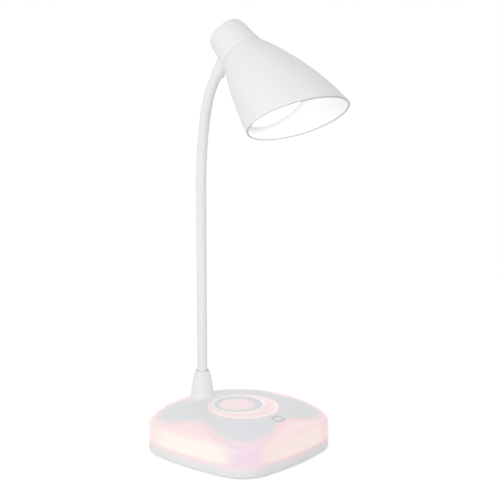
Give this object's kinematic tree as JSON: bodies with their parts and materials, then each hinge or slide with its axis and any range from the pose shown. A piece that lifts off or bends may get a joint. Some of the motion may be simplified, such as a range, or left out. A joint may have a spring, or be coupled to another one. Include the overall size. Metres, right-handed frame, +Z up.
{
  "type": "desk lamp",
  "caption": "Rechargeable desk lamp with a glowing rounded-square base, a touch dish, a flexible neck and a turning bell shade with an oblique mouth.",
  "frame": {"origin": "centre of the base's underside, on the anti-slip pad's lower face", "axes": "+Z up, +X from the neck over the dish to the touch key in front, +Y to the left of someone who sits in front of the lamp's back"},
  "size_m": [0.1783, 0.1422, 0.3964],
  "materials": {
    "shell_white": "fine satin, moulded",
    "cover_grey": "gloss, moulded",
    "band_glow": "milky translucent, lit from inside",
    "ring_glow": "milky translucent, lit from inside",
    "dish_grey": "fine satin",
    "sleeve_white": "smooth soft sleeve",
    "lens_opal": "opal diffuser",
    "pad_dark": "fine grain",
    "steel": "plain",
    "zinc_screw": "zinc plated",
    "board_green": "solder mask",
    "board_white": "white solder mask",
    "board_metal": "white coated",
    "led_yellow": "phosphor",
    "cell_green": "shrink film",
    "cradle_white": "moulded",
    "foam_dark": "conductive foam",
    "inlet_metal": "plated shell"
  },
  "bodies": {
    "base": {"anti_slip_pad": "pad_dark", "bottom_cover": "shell_white", "base_screws": "zinc_screw", "ballast_plate": "steel", "battery_cradle": "cradle_white", "battery_cell": "cell_green", "control_board": "board_green", "charge_inlet": "inlet_metal", "light_band": "band_glow", "top_cover": "cover_grey", "mood_board": "board_white", "mood_leds": "led_yellow", "board_screws": "zinc_screw", "touch_contact": "foam_dark", "color_ring": "ring_glow", "touch_dish": "dish_grey", "center_lens": "ring_glow", "neck_socket": "cover_grey", "neck_root": "steel", "neck_washer": "zinc_screw", "neck_nut": "zinc_screw", "sleeve_root": "sleeve_white"},
    "neck_1": {"core_1": "steel", "sleeve_1": "sleeve_white"},
    "neck_2": {"core_2": "steel", "sleeve_2": "sleeve_white"},
    "neck_3": {"core_3": "steel", "sleeve_3": "sleeve_white"},
    "neck_4": {"core_4": "steel", "sleeve_4": "sleeve_white"},
    "neck_5": {"core_5": "steel", "sleeve_5": "sleeve_white"},
    "neck_6": {"core_6": "steel", "sleeve_6": "sleeve_white"},
    "neck_7": {"core_7": "steel", "sleeve_7": "sleeve_white"},
    "neck_8": {"core_8": "steel", "sleeve_8": "sleeve_white"},
    "neck_9": {"core_9": "steel", "sleeve_9": "sleeve_white"},
    "head": {"core_top": "steel", "sleeve_top": "sleeve_white", "ferrule": "shell_white", "rear_cap": "shell_white", "head_nut": "zinc_screw"},
    "shade": {"shade_bell": "shell_white", "turn_ring": "cradle_white", "ring_screws": "zinc_screw", "led_board": "board_metal", "led_chips": "led_yellow", "led_screws": "zinc_screw", "reflector": "cradle_white", "diffuser": "lens_opal", "diffuser_ring": "shell_white"}
  },
  "joints": [
    {"name": "neck_bend", "type": "hinge", "parent": "base", "child": "neck_1", "pos_m": [-0.045, 0, 0.072], "axis": [0, 1, 0], "range_deg": [-10, 14], "deforming": ["sleeve_root"]},
    {"name": "neck_sway", "type": "hinge", "parent": "neck_1", "child": "neck_2", "pos_m": [-0.045, 0, 0.0996], "axis": [1, 0, 0], "range_deg": [-12, 12], "deforming": ["sleeve_1"]},
    {"name": "neck_bend_3", "type": "hinge", "parent": "neck_2", "child": "neck_3", "pos_m": [-0.045, 0, 0.1272], "axis": [0, 1, 0], "range_deg": [-10, 14], "deforming": ["sleeve_2"]},
    {"name": "neck_sway_4", "type": "hinge", "parent": "neck_3", "child": "neck_4", "pos_m": [-0.045, 0, 0.1548], "axis": [1, 0, 0], "range_deg": [-12, 12], "deforming": ["sleeve_3"]},
    {"name": "neck_bend_5", "type": "hinge", "parent": "neck_4", "child": "neck_5", "pos_m": [-0.045, 0, 0.1824], "axis": [0, 1, 0], "range_deg": [-10, 14], "deforming": ["sleeve_4"]},
    {"name": "neck_sway_6", "type": "hinge", "parent": "neck_5", "child": "neck_6", "pos_m": [-0.045, 0, 0.21], "axis": [1, 0, 0], "range_deg": [-12, 12], "deforming": ["sleeve_5"]},
    {"name": "neck_bend_7", "type": "hinge", "parent": "neck_6", "child": "neck_7", "pos_m": [-0.045, 0, 0.2376], "axis": [0, 1, 0], "range_deg": [-10, 14], "deforming": ["sleeve_6"]},
    {"name": "neck_sway_8", "type": "hinge", "parent": "neck_7", "child": "neck_8", "pos_m": [-0.04413, 0, 0.26518], "axis": [0.998, 0, -0.0628], "range_deg": [-12, 12], "deforming": ["sleeve_7"]},
    {"name": "neck_bend_9", "type": "hinge", "parent": "neck_8", "child": "neck_9", "pos_m": [-0.04154, 0, 0.29265], "axis": [0, 1, 0], "range_deg": [-10, 14], "deforming": ["sleeve_8"]},
    {"name": "neck_bend_10", "type": "hinge", "parent": "neck_9", "child": "head", "pos_m": [-0.03627, 0, 0.31973], "axis": [0, 1, 0], "range_deg": [-10, 14], "deforming": ["sleeve_9", "sleeve_top"]},
    {"name": "shade_turn", "type": "hinge", "parent": "head", "child": "shade", "pos_m": [0.00463, 0, 0.36702], "axis": [0.7604, 0, -0.6494], "range_deg": [-48, 111]}
  ],
  "couplings": [
    {"joint": "neck_bend_3", "follows": "neck_bend", "ratio": 1},
    {"joint": "neck_sway_4", "follows": "neck_sway", "ratio": 1},
    {"joint": "neck_bend_5", "follows": "neck_bend", "ratio": 1},
    {"joint": "neck_sway_6", "follows": "neck_sway", "ratio": 1},
    {"joint": "neck_bend_7", "follows": "neck_bend", "ratio": 1},
    {"joint": "neck_sway_8", "follows": "neck_sway", "ratio": 1},
    {"joint": "neck_bend_9", "follows": "neck_bend", "ratio": 1},
    {"joint": "neck_bend_10", "follows": "neck_bend", "ratio": 1}
  ]
}
